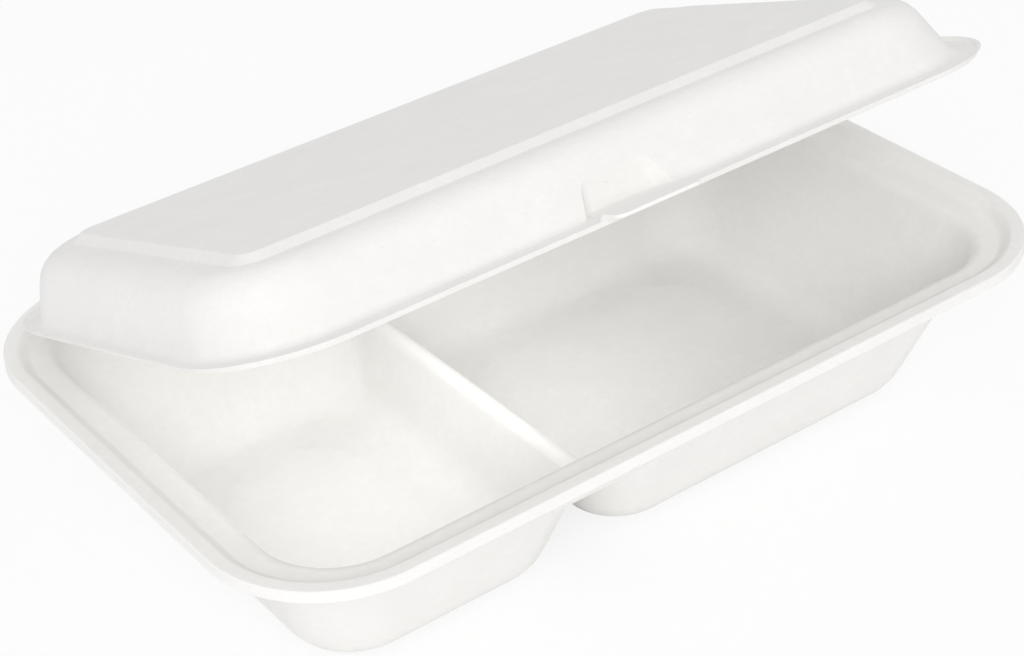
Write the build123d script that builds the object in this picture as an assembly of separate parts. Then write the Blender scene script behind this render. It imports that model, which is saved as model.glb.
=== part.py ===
from build123d import *
from math import atan, cos, radians, sin, sqrt, tan
import os

# Bagasse meal box: two thin shells of moulded pulp, a deep tray with two
# compartments and a shallow lid, joined along the back by a pressed fold.
# X runs along the box, -Y is the front that opens, Z is up. The origin lies
# under the middle of the tray rim, on the surface that the box stands on.

# Tray rim, from the outer edge inwards
RIM_LENGTH = 250.0
RIM_DEPTH = 165.0
RIM_CORNER = 34.0
WALL = 0.8
FLANGE = 3.4
LIP_DROP = 3.0
STEP_RUN = 3.8
STEP_DROP = 2.6

# Tray walls and floors
TRAY_HEIGHT = 50.0
END_INSET = 14.0
SIDE_INSET = 12.5
END_DRAFT = 16.5
SIDE_DRAFT = 23.0
MOUTH_CORNER = 21.0
FOOT_CORNER = 17.0
FOOT_ROLL = 9.0
LEDGE_ROLL = 2.6

# Divider between the small and the large compartment
DIVIDER_X = -21.5
DIVIDER_DROP = 22.0
DIVIDER_CREST = 4.6
DIVIDER_DRAFT = 11.0
DIVIDER_CORNER = 15.0
CREST_ROLL = 2.2

# Raised field in the middle of each floor
FIELD_RISE = 0.9
FIELD_MARGIN = 12.0
FIELD_CORNER = 13.0
FIELD_BEVEL = 5.0

# Lid rim, which drops into the stepped mouth of the tray
SEAT_GAP = 0.25
NEST_GAP = 0.3
LID_CORNER = 29.0
LID_LIP = 1.6
LIP_DRAFT = 40.0

# Lid dome
LID_RISE = 17.7
DOME_END_INSET = 10.5
DOME_FRONT_INSET = 14.5
DOME_BACK_INSET = 10.5
DOME_END_DRAFT = 17.0
DOME_FRONT_DRAFT = 30.0
DOME_BACK_DRAFT = 13.0
DOME_FOOT_CORNER = 26.0
DOME_TOP_CORNER = 23.0
DOME_FOOT_ROLL = 1.5
SHOULDER_ROLL = 9.0
SHOULDER_END_FLAT = 3.5
SHOULDER_SIDE_FLAT = 3.0
PANEL_RISE = 1.8
PANEL_BEVEL = 3.0
PANEL_CORNER = 8.0

# Finger pocket in the lid front, with the lifting tab below it
POCKET_X = -6.0
POCKET_WIDTH = 20.0
POCKET_FLARE = 4.0
POCKET_HEIGHT = 9.0
TAB_X = -8.5
TAB_WIDTH = 25.0
TAB_REACH = 9.0
TAB_CORNER = 2.5

# Fold along the back edge
FOLD_LENGTH = 164.0
FOLD_REACH = 1.5
FOLD_GAP = 0.25
FOLD_WALL = 0.5
OPEN_ANGLE = 20.5

RIM_TOP = TRAY_HEIGHT
HALF_LENGTH = RIM_LENGTH / 2
HALF_DEPTH = RIM_DEPTH / 2
LEDGE_Z = RIM_TOP - STEP_DROP
CREST_Z = RIM_TOP - DIVIDER_DROP
LID_SEAT = LEDGE_Z + SEAT_GAP
LID_INSET = FLANGE + STEP_RUN + NEST_GAP
COVER_Z = RIM_TOP + SEAT_GAP
FOLD_Y = HALF_DEPTH + FOLD_REACH
FOLD_Z = RIM_TOP + SEAT_GAP / 2


def plan(x0, x1, y0, y1, z, corner, right_corner=None):
    """A rounded rectangle at height z, between two x and two y values."""
    sheet = Pos((x0 + x1) / 2, (y0 + y1) / 2, z) * Rectangle(x1 - x0, y1 - y0)
    sides = sheet.vertices().group_by(Axis.X)
    if right_corner is None:
        return fillet(sides[0] + sides[-1], corner)
    sheet = fillet(sides[0], corner)
    ends = sheet.vertices().filter_by(lambda v: abs(v.X - x1) < 1e-6)
    return fillet(ends, right_corner)


def inset_plan(inset, z, corner=RIM_CORNER):
    """The rim outline moved inwards at height z."""
    return plan(-HALF_LENGTH + inset, HALF_LENGTH - inset, -HALF_DEPTH + inset, HALF_DEPTH - inset, z, corner - inset)


def slab(inset, z0, z1):
    """The rim outline moved inwards and made a plate from z0 to z1."""
    return extrude(inset_plan(inset, z0), z1 - z0)


def roll_steps(radius):
    """Rise and outward growth at four points along a quarter-round bend."""
    turns = [radians(angle) for angle in (0, 30, 60, 90)]
    return [(radius * (1 - cos(turn)), radius * (1 - sin(turn))) for turn in turns]


def bend_levels(radius):
    """Heights above a floor at which a wall that bends into it is drawn."""
    return [radius * (1 - cos(radians(angle))) for angle in (78, 62, 46, 31, 15, 0)]


def bend(radius, draft, height):
    """How far the bend from wall to floor stands in from the line of the wall at a height."""
    slope = radians(draft)
    if height >= radius * (1 - sin(slope)):
        return 0
    return radius * (1 - sin(slope)) / cos(slope) - sqrt(height * (2 * radius - height)) + height * tan(slope)


def bent_strip(section, x, width):
    """A strip of sheet with the given y-z section, width long and centred on x."""
    return Pos(x, 0, 0) * extrude(Plane.YZ * make_face(Polyline(*section, close=True)), width / 2, both=True)


def funnel(sections):
    """A solid through flat sections, with straight flanks between them."""
    return loft([section.face() for section in sections], ruled=True)


def wall_shift(draft, skin):
    """Sideways shift that gives a drafted wall the thickness skin."""
    return skin / cos(radians(draft))


# Tray

def tub_plan(z, skin):
    """Plan of the whole tray cavity at height z, grown by skin for the outer face."""
    down = LEDGE_Z - z
    end = END_INSET + down * tan(radians(END_DRAFT)) - wall_shift(END_DRAFT, skin)
    side = SIDE_INSET + down * tan(radians(SIDE_DRAFT)) - wall_shift(SIDE_DRAFT, skin)
    share = down / LEDGE_Z
    corner = MOUTH_CORNER + (FOOT_CORNER - MOUTH_CORNER) * share + skin
    return end, side, corner


def tub(skin):
    """The part of the cavity above the divider, with the rolled edge of the ledge."""
    top = LEDGE_Z - skin
    sections = []
    for down, grow in roll_steps(LEDGE_ROLL - skin):
        end, side, corner = tub_plan(top - down, skin)
        end, side, corner = end - grow, side - grow, corner + grow
        sections.append(tub_section(end, side, corner, top - down))
    sections.append(tub_section(*tub_plan(CREST_Z - skin, skin), CREST_Z - skin))
    return funnel(sections)


def tub_section(end, side, corner, z):
    """One level of the tray cavity."""
    return plan(-HALF_LENGTH + end, HALF_LENGTH - end, -HALF_DEPTH + side, HALF_DEPTH - side, z, corner)


def divider_half(z, skin):
    """Half the thickness of the divider ridge at height z."""
    return DIVIDER_CREST / 2 + (CREST_Z - z) * tan(radians(DIVIDER_DRAFT)) - wall_shift(DIVIDER_DRAFT, skin)


def cup(side_of_divider, floor_z, skin):
    """One compartment below the crest: -1 is the small one, +1 the large one."""
    top = CREST_Z - skin
    roll = FOOT_ROLL + skin
    levels = [(top - down, grow) for down, grow in roll_steps(CREST_ROLL - skin)]
    levels += [(floor_z + up, 0) for up in bend_levels(roll)]
    sections = []
    for z, grow in levels:
        end_bend, side_bend, divider_bend = [bend(roll, draft, z - floor_z) for draft in (END_DRAFT, SIDE_DRAFT, DIVIDER_DRAFT)]
        end, side, corner = tub_plan(z, skin)
        end, side = end + end_bend, side + side_bend
        half = divider_half(z, skin) - grow + divider_bend
        corner -= (end_bend + side_bend) / 2
        divider_corner = DIVIDER_CORNER + skin - (divider_bend + side_bend) / 2
        x0, x1, corners = DIVIDER_X + half, HALF_LENGTH - end, (divider_corner, corner)
        if side_of_divider < 0:
            x0, x1, corners = -HALF_LENGTH + end, DIVIDER_X - half, (corner, divider_corner)
        sections.append(plan(x0, x1, -HALF_DEPTH + side, HALF_DEPTH - side, z, *corners))
    return funnel(sections)


def floor_field(side_of_divider, skin):
    """The raised field of a floor, as a low tapered block."""
    floor_z = WALL - skin
    end, side, _ = tub_plan(floor_z, 0)
    half = divider_half(floor_z, 0)
    x0, x1 = DIVIDER_X + half + FIELD_MARGIN, HALF_LENGTH - end - FIELD_MARGIN
    if side_of_divider < 0:
        x0, x1 = -HALF_LENGTH + end + FIELD_MARGIN, DIVIDER_X - half - FIELD_MARGIN
    y0, y1 = -HALF_DEPTH + side + FIELD_MARGIN, HALF_DEPTH - side - FIELD_MARGIN
    low = plan(x0, x1, y0, y1, floor_z, FIELD_CORNER)
    top_z = floor_z + FIELD_RISE
    top_corner = FIELD_CORNER - FIELD_BEVEL
    high = plan(x0 + FIELD_BEVEL, x1 - FIELD_BEVEL, y0 + FIELD_BEVEL, y1 - FIELD_BEVEL, top_z, top_corner)
    return funnel([low, high])


def mouth_step(skin):
    """The soft step from the flange down to the ledge, as a solid that fills the mouth."""
    sections = []
    for share in (0, 0.15, 0.3, 0.5, 0.7, 0.85, 1):
        drop = STEP_DROP * (3 * share ** 2 - 2 * share ** 3)
        slope = atan(STEP_DROP / STEP_RUN * 6 * share * (1 - share))
        sections.append(inset_plan(FLANGE + STEP_RUN * share - skin * sin(slope), RIM_TOP - drop - skin * cos(slope)))
    return funnel(sections)


def make_tray():
    flange = slab(0, RIM_TOP - WALL, RIM_TOP)
    flange = chamfer(flange.edges().group_by(Axis.Z)[-1], WALL / 2)
    lip = slab(0, RIM_TOP - LIP_DROP, RIM_TOP - WALL) - slab(WALL, RIM_TOP - LIP_DROP, RIM_TOP - WALL)
    fold_end = FOLD_Y - FOLD_GAP
    fold = bent_strip([(HALF_DEPTH - FLANGE, RIM_TOP - WALL), (HALF_DEPTH, RIM_TOP - WALL), (fold_end, RIM_TOP - FOLD_WALL),
                       (fold_end, RIM_TOP), (HALF_DEPTH - FLANGE, RIM_TOP)], 0, FOLD_LENGTH)
    outer = flange + lip + mouth_step(WALL) + fold + tub(WALL)
    inner = mouth_step(0) + tub(0)
    for side in (-1, 1):
        outer += cup(side, 0, WALL)
        outer -= floor_field(side, WALL)
        inner += cup(side, WALL, 0)
        inner -= floor_field(side, 0)
    return outer - inner


# Lid, modelled shut and then opened

def dome_sides(up, skin):
    """End, front and back inset of the dome wall at a height above the seat."""
    walls = ((DOME_END_INSET, DOME_END_DRAFT), (DOME_FRONT_INSET, DOME_FRONT_DRAFT), (DOME_BACK_INSET, DOME_BACK_DRAFT))
    return [inset + up * tan(radians(draft)) + wall_shift(draft, skin) for inset, draft in walls]


def dome_section(up, skin, grow=0.0):
    """One level of the dome, shrunk by skin for the inner face and grown in the foot roll."""
    below_top = LID_RISE - skin - up
    bends = [bend(SHOULDER_ROLL - skin, draft, below_top) for draft in (DOME_END_DRAFT, DOME_FRONT_DRAFT, DOME_BACK_DRAFT)]
    end, front, back = [side + turn - grow for side, turn in zip(dome_sides(up, skin), bends)]
    corner = DOME_FOOT_CORNER + (DOME_TOP_CORNER - DOME_FOOT_CORNER) * up / LID_RISE - skin + grow - sum(bends) / 3
    x, y0, y1 = HALF_LENGTH - end, -HALF_DEPTH + front, HALF_DEPTH - back
    return plan(-x, x, y0, y1, LID_SEAT + up, corner)


def panel(skin):
    """The raised top panel, as a low tapered block."""
    end, front, back = [side + skin / 2 for side in dome_sides(LID_RISE, 0)]
    end += bend(SHOULDER_ROLL, DOME_END_DRAFT, 0) + SHOULDER_END_FLAT
    front += bend(SHOULDER_ROLL, DOME_FRONT_DRAFT, 0) + SHOULDER_SIDE_FLAT
    back += bend(SHOULDER_ROLL, DOME_BACK_DRAFT, 0) + SHOULDER_SIDE_FLAT
    sections = []
    for rise, bevel in ((0, 0), (PANEL_RISE, PANEL_BEVEL)):
        x = HALF_LENGTH - end - bevel
        y0, y1 = -HALF_DEPTH + front + bevel, HALF_DEPTH - back - bevel
        sections.append(plan(-x, x, y0, y1, LID_SEAT + LID_RISE - skin + rise, PANEL_CORNER - bevel - skin / 2))
    return funnel(sections)


def dome(skin):
    """The dome of the lid with its rolled foot and shoulder; skin is 0 outside."""
    foot = WALL - skin
    sections = [dome_section(foot + up, skin, grow) for up, grow in roll_steps(DOME_FOOT_ROLL + skin)]
    sections += [dome_section(LID_RISE - skin - down, skin) for down in bend_levels(SHOULDER_ROLL - skin)]
    return funnel(sections) + panel(skin)


def pocket(skin):
    """The finger pocket as a wedge that stands in the drafted front wall."""
    back = -HALF_DEPTH + DOME_FRONT_INSET + POCKET_HEIGHT * tan(radians(DOME_FRONT_DRAFT)) + skin
    front = -HALF_DEPTH + LID_INSET
    half = POCKET_WIDTH / 2 + skin
    flared = half + POCKET_FLARE * (back - front) / (POCKET_HEIGHT * tan(radians(DOME_FRONT_DRAFT)))
    outline = Polyline((POCKET_X - flared, front), (POCKET_X + flared, front), (POCKET_X + half, back),
                       (POCKET_X - half, back), close=True)
    block = extrude(Pos(0, 0, LID_SEAT + WALL - skin) * make_face(outline), 2 * POCKET_HEIGHT)
    edges = block.edges().filter_by(Axis.Z).group_by(Axis.Y)[-1]
    return fillet(edges, POCKET_FLARE + skin)


def lid_section(inset, z):
    """The lid rim outline moved inwards at height z."""
    return inset_plan(LID_INSET + inset, z, LID_CORNER + LID_INSET)


def lid_edge_strip(y_sign, reach, end_thickness, x, width):
    """Sheet that climbs from the lid rim over the tray rim and ends at the given reach."""
    climb = COVER_Z - LID_SEAT
    run = climb * tan(radians(LIP_DRAFT))
    foot = HALF_DEPTH - LID_INSET
    section = [(foot - 2 * WALL, LID_SEAT), (foot, LID_SEAT), (foot + run, COVER_Z), (reach, COVER_Z),
               (reach, COVER_Z + end_thickness), (HALF_DEPTH - FLANGE / 2, COVER_Z + WALL),
               (foot + run - WALL / 2, COVER_Z + WALL), (foot - WALL / 2, LID_SEAT + WALL), (foot - 2 * WALL, LID_SEAT + WALL)]
    return bent_strip([(y_sign * y, z) for y, z in section], x, width)


def make_shut_lid():
    flange = extrude(lid_section(0, LID_SEAT), WALL)
    lip_run = LID_LIP * tan(radians(LIP_DRAFT))
    lip_top = LID_SEAT + LID_LIP
    lip = funnel([lid_section(0, LID_SEAT), lid_section(-lip_run, lip_top)])
    lip -= funnel([lid_section(WALL, LID_SEAT), lid_section(WALL - lip_run, lip_top)])
    tab_reach = HALF_DEPTH - LID_INSET + TAB_REACH
    tab = lid_edge_strip(-1, tab_reach, WALL, TAB_X, TAB_WIDTH)
    tab = fillet(tab.edges().filter_by(Axis.Z).group_by(Axis.Y)[0], TAB_CORNER)
    fold = lid_edge_strip(1, FOLD_Y - FOLD_GAP, FOLD_WALL, 0, FOLD_LENGTH)
    outer = dome(0) - pocket(0)
    inner = dome(WALL) - pocket(WALL)
    return flange + lip + tab + fold + outer - inner


tray = make_tray()
lid = make_shut_lid()
fold_axis = Axis((0, FOLD_Y, FOLD_Z), (-1, 0, 0))
lid = lid.rotate(fold_axis, OPEN_ANGLE)

os.makedirs("parts", exist_ok=True)
for name, solid in (("base_tray", tray), ("lid", lid)):
    export_step(solid, "parts/" + name + ".step")
    print(name, "volume", round(solid.volume), "mm3")
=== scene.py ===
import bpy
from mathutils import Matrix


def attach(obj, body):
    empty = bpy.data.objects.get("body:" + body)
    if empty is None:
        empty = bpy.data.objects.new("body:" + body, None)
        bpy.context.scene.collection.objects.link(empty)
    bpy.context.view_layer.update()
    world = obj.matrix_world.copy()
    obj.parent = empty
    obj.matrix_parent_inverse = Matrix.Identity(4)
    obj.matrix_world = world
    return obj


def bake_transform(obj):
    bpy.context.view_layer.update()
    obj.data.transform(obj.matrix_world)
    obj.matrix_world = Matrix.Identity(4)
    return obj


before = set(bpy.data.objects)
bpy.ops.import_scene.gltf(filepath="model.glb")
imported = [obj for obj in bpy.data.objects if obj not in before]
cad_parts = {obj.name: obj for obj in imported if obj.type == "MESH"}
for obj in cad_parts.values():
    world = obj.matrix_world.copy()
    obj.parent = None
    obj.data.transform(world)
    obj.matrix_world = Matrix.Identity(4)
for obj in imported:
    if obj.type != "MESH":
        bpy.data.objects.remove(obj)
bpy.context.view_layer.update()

import math
import bpy
from mathutils import Matrix, Vector


# Tray and lid: one sheet of bagasse, the washed fibre of pressed sugar cane, sucked from a wet pulp
# onto a wire form and pressed hot between two dies. It is warm white and matt, a little cloudy where
# the fibres lie thicker, with a few straw-coloured strands, and its outside keeps the wire's print.

PULP_COLOUR, THICK_PULP_COLOUR, STRAW_COLOUR = "#f5f4f2", "#faf9f7", "#d9cba9"
# clouds of thicker and thinner pulp are about 14 mm across, and flocs of fibre about 2.5 mm
CLOUD_SCALE, FLOC_SCALE = 70.0, 400.0
# single strands, 2 mm long and 0.25 mm wide, lie in two directions: the turn in radians and the scale
STRANDS = ((0.5, (500, 4000, 1400)), (-0.9, (4200, 520, 1500)))
STRAND_TINT = 0.25
# the wire's print is a 1 mm weave, drawn coarser than the real 0.5 mm so that it shows at all
WIRE_SCALE = 160.0
# depths of the clouds, flocs and wire marks, in metres
CLOUD_DEPTH, FLOC_DEPTH, WIRE_DEPTH = 0.0006, 0.00016, 0.00003
CREASE_ANGLE = math.radians(28)
STRIP_GAP = 0.00001


def linear(hex_colour):
    """An sRGB hex colour as a linear RGBA tuple."""
    parts = [int(hex_colour[i:i + 2], 16) / 255 for i in (1, 3, 5)]
    return tuple(c / 12.92 if c <= 0.04045 else ((c + 0.055) / 1.055) ** 2.4 for c in parts) + (1.0,)


def add_node(tree, kind, inputs=None, **settings):
    """Adds one node, with its settings, and its inputs as values or as sockets to link from."""
    node = tree.nodes.new(kind)
    for name, value in settings.items():
        setattr(node, name, value)
    for name, value in (inputs or {}).items():
        if isinstance(value, bpy.types.NodeSocket):
            tree.links.new(value, node.inputs[name])
        else:
            node.inputs[name].default_value = value
    return node


def bagasse(name, outer_normal_z):
    """Hot-pressed bagasse. outer_normal_z is the z of the normals on the side that lay on the wire."""
    material = bpy.data.materials.new(name)
    material.use_nodes = True
    tree = material.node_tree
    shader = tree.nodes["Principled BSDF"]
    where = add_node(tree, "ShaderNodeTexCoord")
    place = where.outputs["Object"]

    clouds = add_node(tree, "ShaderNodeTexNoise",
                      {"Vector": place, "Scale": CLOUD_SCALE, "Detail": 3.0, "Roughness": 0.55})
    flocs = add_node(tree, "ShaderNodeTexNoise",
                     {"Vector": place, "Scale": FLOC_SCALE, "Detail": 4.0, "Roughness": 0.6})
    strands = []
    for turn, stretch in STRANDS:
        turned = add_node(tree, "ShaderNodeMapping",
                          {"Vector": place, "Rotation": (0.3, 0.2, turn), "Scale": stretch})
        noise = add_node(tree, "ShaderNodeTexNoise",
                         {"Vector": turned.outputs[0], "Scale": 1.0, "Detail": 1.0})
        sparse = add_node(tree, "ShaderNodeMapRange",
                          {"Value": noise.outputs["Fac"], "From Min": 0.71, "From Max": 0.80})
        strands.append(sparse.outputs[0])
    strand = add_node(tree, "ShaderNodeMath", {0: strands[0], 1: strands[1]}, operation="MAXIMUM")

    cloud_tone, floc_tone = [
        add_node(tree, "ShaderNodeMapRange",
                 {"Value": pattern.outputs["Fac"], "From Min": 0.3, "From Max": 0.7})
        for pattern in (clouds, flocs)]
    pulp = add_node(tree, "ShaderNodeMix", {0: cloud_tone.outputs[0], 6: linear(PULP_COLOUR),
                                            7: linear(THICK_PULP_COLOUR)}, data_type="RGBA")
    flocky = add_node(tree, "ShaderNodeMix", {0: floc_tone.outputs[0], 6: linear(PULP_COLOUR),
                                              7: pulp.outputs[2]}, data_type="RGBA")
    tint = add_node(tree, "ShaderNodeMath", {0: strand.outputs[0], 1: STRAND_TINT}, operation="MULTIPLY")
    speckled = add_node(tree, "ShaderNodeMix", {0: tint.outputs[0], 6: flocky.outputs[2],
                                                7: linear(STRAW_COLOUR)}, data_type="RGBA")
    tree.links.new(speckled.outputs[2], shader.inputs["Base Color"])
    roughness = add_node(tree, "ShaderNodeMapRange",
                         {"Value": flocs.outputs["Fac"], "To Min": 0.72, "To Max": 0.92})
    tree.links.new(roughness.outputs[0], shader.inputs["Roughness"])
    shader.inputs["Specular IOR Level"].default_value = 0.3
    shader.inputs["Sheen Weight"].default_value = 0.05

    # two crossed waves make the weave, which fades out towards the smooth side
    waves = []
    for turn in (45, -45):
        turned = add_node(tree, "ShaderNodeMapping",
                          {"Vector": place, "Rotation": (0, 0, math.radians(turn))})
        wave = add_node(tree, "ShaderNodeTexWave",
                        {"Vector": turned.outputs[0], "Scale": WIRE_SCALE, "Distortion": 0.3})
        waves.append(wave.outputs["Fac"])
    weave = add_node(tree, "ShaderNodeMath", {0: waves[0], 1: waves[1]}, operation="MULTIPLY")
    facing = add_node(tree, "ShaderNodeSeparateXYZ", {0: where.outputs["Normal"]})
    outside = add_node(tree, "ShaderNodeMapRange",
                       {"Value": facing.outputs[2], "From Min": 0.0, "From Max": 0.4 * outer_normal_z})
    printed = add_node(tree, "ShaderNodeMath", {0: weave.outputs[0], 1: outside.outputs[0]},
                       operation="MULTIPLY")

    cloudy = add_node(tree, "ShaderNodeBump",
                      {"Height": clouds.outputs["Fac"], "Distance": CLOUD_DEPTH, "Strength": 0.5})
    felted = add_node(tree, "ShaderNodeBump", {"Height": flocs.outputs["Fac"], "Distance": FLOC_DEPTH,
                                               "Strength": 0.6, "Normal": cloudy.outputs[0]})
    marked = add_node(tree, "ShaderNodeBump", {"Height": printed.outputs[0], "Distance": WIRE_DEPTH,
                                               "Strength": 0.5, "Normal": felted.outputs[0]})
    tree.links.new(marked.outputs[0], shader.inputs["Normal"])
    return material


# edges sharper than the crease angle stay creases: the cut rims, the tab and the lid's raised panel
creases = bpy.data.node_groups.new("creases", "GeometryNodeTree")
creases.interface.new_socket("Geometry", in_out="INPUT", socket_type="NodeSocketGeometry")
creases.interface.new_socket("Geometry", in_out="OUTPUT", socket_type="NodeSocketGeometry")
sheet_in = add_node(creases, "NodeGroupInput")
edge_angle = add_node(creases, "GeometryNodeInputMeshEdgeAngle")
gentle = add_node(creases, "FunctionNodeCompare", {0: edge_angle.outputs[0], 1: CREASE_ANGLE},
                  operation="LESS_THAN")
all_smooth = add_node(creases, "GeometryNodeSetShadeSmooth", {0: sheet_in.outputs[0], 2: True}, domain="FACE")
shaded = add_node(creases, "GeometryNodeSetShadeSmooth", {0: all_smooth.outputs[0], 2: gentle.outputs[0]},
                  domain="EDGE")
add_node(creases, "NodeGroupOutput", {0: shaded.outputs[0]})

# the outside of the tray faces down and that of the lid faces up
for node_name, wire_side in (("base_tray", -1.0), ("lid", 1.0)):
    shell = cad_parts[node_name]
    pressed = bagasse("pressed_bagasse_" + node_name, wire_side)
    for material_slot in shell.material_slots:
        material_slot.material = pressed
    # the dies' bends are smooth, so their strips are joined and shaded as one curve
    joined = shell.modifiers.new("join_strips", "WELD")
    joined.merge_threshold = STRIP_GAP
    creased = shell.modifiers.new("keep_creases", "NODES")
    creased.node_group = creases
    smooth = shell.modifiers.new("smooth_bends", "WEIGHTED_NORMAL")
    smooth.mode = "FACE_AREA"
    smooth.weight = 60
    smooth.keep_sharp = True


# Fold: along the back the same sheet is pressed thinner, so that it bends as a living hinge. It is
# part of the moulding, not glued on, and a thin round bead of it joins the tray rim to the lid rim.

FOLD_LENGTH = 0.164
FOLD_WALL = 0.00045
# the fold's section is a strip that starts on the tray's edge and turns about the bend's centre
TRAY_EDGE = (0.0, 0.0837, 0.04976)
BEND_CENTRE = (0.0, 0.0837, 0.05016)
OPEN_ANGLE = 20.5
BEND_STEPS = 10

bpy.ops.object.select_all(action="DESELECT")
bpy.ops.mesh.primitive_plane_add(size=1, location=TRAY_EDGE, rotation=(math.radians(90), 0, 0))
fold = bpy.context.object
fold.name = "fold_web"
bpy.ops.transform.resize(value=(FOLD_LENGTH, 1, FOLD_WALL))
bpy.ops.object.transform_apply(location=True, rotation=True, scale=True)
bpy.ops.object.mode_set(mode="EDIT")
bpy.ops.mesh.select_all(action="SELECT")
bpy.ops.mesh.spin(steps=BEND_STEPS, angle=math.radians(180 - OPEN_ANGLE), center=BEND_CENTRE, axis=(1, 0, 0))
bpy.ops.mesh.select_all(action="SELECT")
bpy.ops.mesh.normals_make_consistent(inside=False)
bpy.ops.object.mode_set(mode="OBJECT")
bpy.ops.object.shade_smooth_by_angle(angle=math.radians(40))
fold.data.materials.append(bagasse("pressed_bagasse_fold", 1.0))
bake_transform(fold)


# Stand: a seamless white table in a light tent, as for a catalogue picture. The camera sees the table
# mostly as plain white, so that only the box's soft shadow is left on it.

TABLE_SIZE = 6
PLAIN_WHITE_SHARE = 0.8
TENT_LIGHT = 0.74

bpy.ops.object.select_all(action="DESELECT")
bpy.ops.mesh.primitive_plane_add(size=TABLE_SIZE, location=(0, 0, 0))
table = bpy.context.object
table.name = "white_table"
# matt white paper, which shows the eye nothing but the shadow
paper = bpy.data.materials.new("white_paper")
paper.use_nodes = True
paper_tree = paper.node_tree
paper_shader = paper_tree.nodes["Principled BSDF"]
paper_shader.inputs["Base Color"].default_value = linear("#ffffff")
paper_shader.inputs["Roughness"].default_value = 0.9
rays = add_node(paper_tree, "ShaderNodeLightPath")
seen = add_node(paper_tree, "ShaderNodeMath", {0: rays.outputs["Is Camera Ray"], 1: PLAIN_WHITE_SHARE},
                operation="MULTIPLY")
plain_white = add_node(paper_tree, "ShaderNodeEmission", {"Color": (1, 1, 1, 1), "Strength": 1.0})
lifted = add_node(paper_tree, "ShaderNodeMixShader",
                  {0: seen.outputs[0], 1: paper_shader.outputs[0], 2: plain_white.outputs[0]})
paper_tree.links.new(lifted.outputs[0], paper_tree.nodes["Material Output"].inputs["Surface"])
table.data.materials.append(paper)

world = bpy.data.worlds.new("light_tent")
bpy.context.scene.world = world
world.use_nodes = True
tent_tree = world.node_tree
tent_rays = add_node(tent_tree, "ShaderNodeLightPath")
tent_strength = add_node(tent_tree, "ShaderNodeMapRange",
                         {"Value": tent_rays.outputs["Is Camera Ray"], "To Min": TENT_LIGHT, "To Max": 1.0})
backdrop = tent_tree.nodes["Background"]
backdrop.inputs["Color"].default_value = (1, 1, 1, 1)
tent_tree.links.new(tent_strength.outputs[0], backdrop.inputs["Strength"])


def soft_lamp(name, place, aim, size, watts):
    """A square lamp behind a diffuser, at place, turned towards aim."""
    light = bpy.data.lights.new(name, "AREA")
    light.size = size
    light.energy = watts
    lamp = bpy.data.objects.new(name, light)
    bpy.context.scene.collection.objects.link(lamp)
    lamp.location = place
    lamp.rotation_euler = (Vector(aim) - Vector(place)).to_track_quat("-Z", "Y").to_euler()
    return lamp


soft_lamp("key_softbox", place=(-0.7, -1.15, 0.88), aim=(0, 0, 0.03), size=0.7, watts=7.5)
# thin pulp lets some light through, so the inside of the half-shut box is nearly as bright as its outside:
# a weak lamp, unseen by the camera, hangs under the lid, shines down into the tray and swings with the lid
inner_glow = soft_lamp("inner_glow", place=(-0.035, -0.005, 0.057), aim=(-0.035, -0.005, 0.0), size=0.14,
                       watts=0.021)
inner_glow.data.shape = "RECTANGLE"
inner_glow.data.size_y = 0.08
inner_glow.rotation_euler = (0, 0, 0)
inner_glow.visible_camera = False
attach(inner_glow, "lid")
bpy.context.view_layer.update()


# Camera: a long lens at the front left, well above the table and slightly rolled. Its place, turn and
# focal length were fitted to the photograph's outlines of the tray and the lid.

AZIMUTH, ELEVATION, DISTANCE, ROLL = -33.81, 32.78, 0.61624, -4.56
AIM = Vector((-0.01349, -0.01434, 0.0478))
FOCAL_PIXELS, PHOTO_WIDTH_PIXELS = 2368.9, 1024
SENSOR_WIDTH = 36.0

azimuth, elevation, roll = [math.radians(angle) for angle in (AZIMUTH, ELEVATION, ROLL)]
back = Vector((math.sin(azimuth) * math.cos(elevation), -math.cos(azimuth) * math.cos(elevation),
               math.sin(elevation)))
level = (-back).cross(Vector((0, 0, 1))).normalized()
upright = level.cross(-back)
right = level * math.cos(roll) + upright * math.sin(roll)
up = upright * math.cos(roll) - level * math.sin(roll)
lens = bpy.data.cameras.new("catalogue_camera")
lens.sensor_width = SENSOR_WIDTH
lens.lens = FOCAL_PIXELS * SENSOR_WIDTH / PHOTO_WIDTH_PIXELS
lens.clip_start, lens.clip_end = 0.01, 20.0
camera = bpy.data.objects.new("catalogue_camera", lens)
bpy.context.scene.collection.objects.link(camera)
place = AIM + back * DISTANCE
camera.matrix_world = Matrix([(*row, p) for row, p in zip(zip(right, up, back), place)] + [(0, 0, 0, 1)])
bpy.context.scene.camera = camera
bpy.context.scene.view_settings.view_transform = "Standard"
